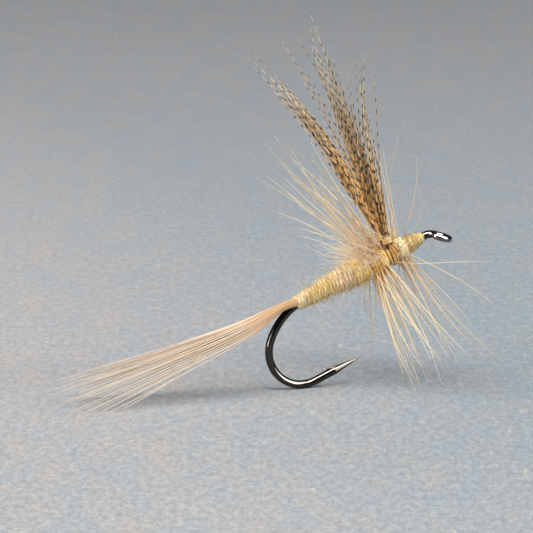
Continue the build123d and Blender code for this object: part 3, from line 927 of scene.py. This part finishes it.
def wind_stem(name, stem, node, material):
    """The quill wound edge to edge, each turn a little uneven, with a thread of the binding between."""
    span, core_radius = stem
    turns = (span[1] - span[0]) / (2 * stem_radius) - 1
    centre = core_radius + stem_radius
    crest = ((span[0], centre), (span[1], centre))
    line = helix(span[0] + 1.7 * stem_radius, span[1] - stem_radius, turns, crest, 0.0, 0.6)
    count = len(line)
    line[:, 0] += wobble(count, 15, 0.018)
    radii = stem_radius * (1.0 + wobble(count, 11, 0.08))
    thread = helix(span[0] + 0.02, span[1] - 0.1, turns, crest, -0.045, 2.4)
    thread[:, 0] += wobble(count, 9, 0.02)
    # The low seeds darken the thread and the core between the turns with the painted gap shade.
    bundles = [tubes(line[None], radii, 8, seeds=0.36, folds=14),
               tubes(thread[None], 0.024, 5, seeds=0.0, folds=10),
               revolved(crest, 0.04, seed=-0.4)]
    place_strands(name, bundles, material, "hackle_stem", node)


def make_stems():
    reseed(8)
    honey = stem_material("honey quill", (0.5, 0.19, 0.02), (1.0, 0.64, 0.16), (1.0, 0.88, 0.44))
    pale = stem_material("pale quill", (0.66, 0.43, 0.2), (1.0, 0.83, 0.5), (1.0, 0.95, 0.74))
    wind_stem("rear_hackle_quill", rear_stem, "rear_hackle_stem", honey)
    wind_stem("front_hackle_quill", front_stem, "front_hackle_stem", pale)


# ---- head


def make_head():
    """The head's thread, its last turns behind the eye, and the clear cement over both."""
    reseed(9)
    thread_radius, inset = 0.037, 0.035
    thread = thread_material("pale gold head thread", (0.32, 0.18, 0.05), (0.78, 0.55, 0.25),
                             (0.97, 0.84, 0.58), roughness=0.35, coat=0.5)
    for name, crest, turns, node in (
            ("head_thread", head_crest, 9, "head_wraps"),
            ("whip_thread", whip_finish_crest, 4, "whip_finish")):
        start, end = crest[0][0] + 0.03, crest[-1][0] - 0.02
        bundles = []
        for phase, slant in ((0.0, 1), (2.2, -1)):
            line = helix(start, end, turns * slant, crest, inset, phase)
            line[:, 0] += wobble(len(line), 16, 0.014)
            line[:, 1:] *= 1 + wobble(len(line), 14, 0.03)[:, None]
            radii = thread_radius + wobble(len(line), 9, 0.002)
            bundles.append(tubes(line[None], radii, 6, folds=8))
        bundles.append(revolved(crest, 0.05, seed=0.3, rough=0.006))
        place_strands(name, bundles, thread, "head_thread", node)
    make_cement()


def make_cement():
    """A thin lumpy shell, closed on the bare wire in front and drawn down behind."""
    crest = head_crest + whip_finish_crest[1:] + ((cement_span[1], wire_radius + 0.004),)
    clearance, sides = 0.002, 48
    x = np.linspace(*cement_span, 44)
    outer = crest_radius(crest, x) + cement_thickness + wobble(len(x), 4, 0.004)
    outer[-1] = wire_radius + 0.003
    outer[0] = crest_radius(crest, x[0]) + 0.004
    inner = np.minimum(crest_radius(crest, x) + clearance, outer - clearance)
    turn = np.arange(sides) * 2 * math.pi / sides
    loop_x = np.concatenate([x, x[::-1]])[:, None]
    loop_radius = np.concatenate([outer, inner[::-1]])[:, None]
    lumps = 0.006 * np.sin(3 * turn + 9 * loop_x) + 0.004 * np.sin(5 * turn - 13 * loop_x)
    lumps[len(x):] = 0
    lumps[[0, len(x) - 1]] = 0
    vertices = around(loop_x, loop_radius + np.maximum(lumps, -0.004), turn)
    rows = len(loop_x)
    faces = []
    for k in range(rows):
        low, high = k * sides, (k + 1) % rows * sides
        for j in range(sides):
            after = (j + 1) % sides
            faces.append((low + j, low + after, high + after, high + j))
    mesh = bpy.data.meshes.new("head_varnish")
    mesh.from_pydata(to_world(vertices.reshape(-1, 3)).tolist(), [], faces)
    make_smooth(mesh)
    place("head_varnish", mesh, cement_material(), "clear_cement", "head_cement")


# ---- floor, light, camera


def make_floor():
    """Pale fibrous paper, its nap fading with distance from the view, with painted light and shade on it.
    """
    half = 0.9
    mesh = bpy.data.meshes.new("paper_floor")
    mesh.from_pydata([(-half, -half, 0), (half, -half, 0), (half, half, 0), (-half, half, 0)], [],
                     [(0, 1, 2, 3)])
    floor = bpy.data.objects.new("paper_floor", mesh)
    bpy.context.scene.collection.objects.link(floor)
    shader = Shader("pale paper", Roughness=0.85, Specular_IOR_Level=0.2)
    where = shader.add("TexCoord").outputs["Object"]
    position = shader.add("SeparateXYZ", {0: where}).outputs
    depth = shader.math("MULTIPLY_ADD", position["Y"], 8.0, 0.2)
    nap = shader.ramp(depth, (0.1, white), (0.7, (0.3, 0.3, 0.3)))
    stretch = {"Vector": where, "Rotation": (0, 0, view_azimuth), "Scale": (1, 2.4, 1)}
    grain = shader.add("Mapping", stretch, vector_type="TEXTURE").outputs["Vector"]
    fibres = shader.noise(3.2, 6.0, 0.78, grain)
    fine = shader.math("MULTIPLY_ADD", shader.math("SUBTRACT", fibres, 0.5), nap, 0.5)
    patches = shader.noise(0.5, 4.0, where=grain)
    colour = shader.ramp(fine, (0.37, (0.255, 0.268, 0.281)), (0.64, (0.405, 0.405, 0.402)))
    tint = shader.ramp(patches, (0.35, (0.94, 0.985, 1.02)), (0.65, (1.05, 1.0, 0.965)))
    colour = shader.mix(1.0, colour, tint, "MULTIPLY")
    # Painted shade: the paper darkens and turns bluer to the right.
    across = shader.math("MULTIPLY_ADD", position["X"], 20.0, 0.5)
    painted_cool_shade = shader.ramp(across, (0.3, (1.04, 1.01, 1.0)), (0.8, (0.81, 0.9, 0.96)))
    colour = shader.mix(1.0, colour, painted_cool_shade, "MULTIPLY")
    # Painted light: the paper grows brighter and warmer further from the view.
    far = shader.ramp(depth, (0.1, (0.94, 0.965, 0.99)), (0.5, (1.08, 1.05, 1.05)),
                      (1.0, (1.19, 1.08, 1.05)))
    colour = shader.mix(1.0, colour, far, "MULTIPLY")
    contour = shader.math("SUBTRACT", shader.noise(1.1, 3.0, where=grain), 0.5)
    wisp = shader.ramp(shader.math("ABSOLUTE", contour), (0.0, white), (0.012, black))
    broken = shader.ramp(shader.noise(1.3, 2.0, where=grain), (0.54, black), (0.6, (0.8, 0.8, 0.8)))
    wisp = shader.math("MULTIPLY", wisp, shader.math("MULTIPLY", broken, nap))
    colour = shader.mix(wisp, colour, (0.55, 0.49, 0.42))
    shader.drive("Base Color", colour)
    shader.bump(fine, 0.1, 0.7)
    mesh.materials.append(shader.material)


# The view, from the fly's right and 20 degrees round to its tail, and 12 degrees up
view_centre = Vector(((datum + (-2.085, 0, 1.812)) * MM).tolist())
view_azimuth, view_elevation = math.radians(-20), math.radians(12)
view_right = Vector((math.cos(view_azimuth), math.sin(view_azimuth), 0))
view_back = Vector((math.sin(view_azimuth) * math.cos(view_elevation),
                    -math.cos(view_azimuth) * math.cos(view_elevation), math.sin(view_elevation)))
view_up = view_back.cross(view_right)


def add_light(name, offset, size, watts, colour):
    """A soft rectangular light, offset from the middle of the view in metres and facing it."""
    lamp = bpy.data.lights.new(name, "AREA")
    lamp.shape = "RECTANGLE"
    lamp.size, lamp.size_y = size
    lamp.energy = watts
    lamp.color = colour
    light = bpy.data.objects.new(name, lamp)
    light.location = view_centre + Vector(offset)
    light.rotation_euler = Vector(offset).to_track_quat("Z", "Y").to_euler()
    bpy.context.scene.collection.objects.link(light)
    return light


def add_hook_glints(wire):
    """An arc of lights round the top of the view, which light only the hook's wire."""
    mirrors = bpy.data.collections.new("light_arc_mirrors")
    mirrors.objects.link(wire)
    distance, slope = 0.24, math.radians(60)
    first_turn, turn_apart = -6, 32
    for step in range(7):
        turn = math.radians(first_turn + turn_apart * step)
        aside = view_right * math.cos(turn) + view_up * math.sin(turn)
        offset = (view_back * math.cos(slope) + aside * math.sin(slope)) * distance
        light = add_light(f"light_arc_{step}", offset, (0.13, 0.13), 1.0, (1.0, 1.0, 1.0))
        light.light_linking.receiver_collection = mirrors


def add_front_fill(wire):
    """A weak light from the camera's side, which leaves the black front of the hook alone."""
    light = add_light("front_fill", (-0.09, -0.20, 0.10), (0.12, 0.12), 0.12, (1.0, 0.99, 0.97))
    unlit = bpy.data.collections.new("front_fill_unlit")
    unlit.objects.link(wire)
    light.light_linking.receiver_collection = unlit
    unlit.collection_objects[0].light_linking.link_state = "EXCLUDE"


def set_stage():
    make_floor()
    add_light("overhead_strip", (-0.06, -0.045, 0.24), (0.5, 0.07), 1.05, (1.0, 0.985, 0.96))
    add_light("left_softbox", (-0.19, -0.03, 0.07), (0.09, 0.12), 0.3, (1.0, 0.98, 0.95))
    add_light("right_softbox", (0.17, -0.09, 0.10), (0.06, 0.14), 0.26, (0.95, 0.98, 1.0))
    world = bpy.data.worlds.new("studio")
    world.use_nodes = True
    background = world.node_tree.nodes["Background"]
    background.inputs["Color"].default_value = (0.9, 0.95, 1.0, 1)
    background.inputs["Strength"].default_value = 0.06
    bpy.context.scene.world = world
    bpy.context.scene.view_settings.view_transform = "Standard"


def set_camera():
    """A long lens on the view."""
    distance, view_width = 0.25, 0.02665
    data = bpy.data.cameras.new("camera")
    data.lens = data.sensor_width * distance / view_width
    data.clip_start, data.clip_end = 0.01, 10
    camera = bpy.data.objects.new("camera", data)
    camera.location = view_centre + view_back * distance
    camera.rotation_euler = view_back.to_track_quat("Z", "Y").to_euler()
    bpy.context.scene.collection.objects.link(camera)
    bpy.context.scene.camera = camera


set_camera()
set_stage()
make_hook()
make_tail()
make_tail_wraps()
make_body()
make_guard_hairs()
make_wings()
make_wing_threads()
make_hackle()
make_stems()
make_head()
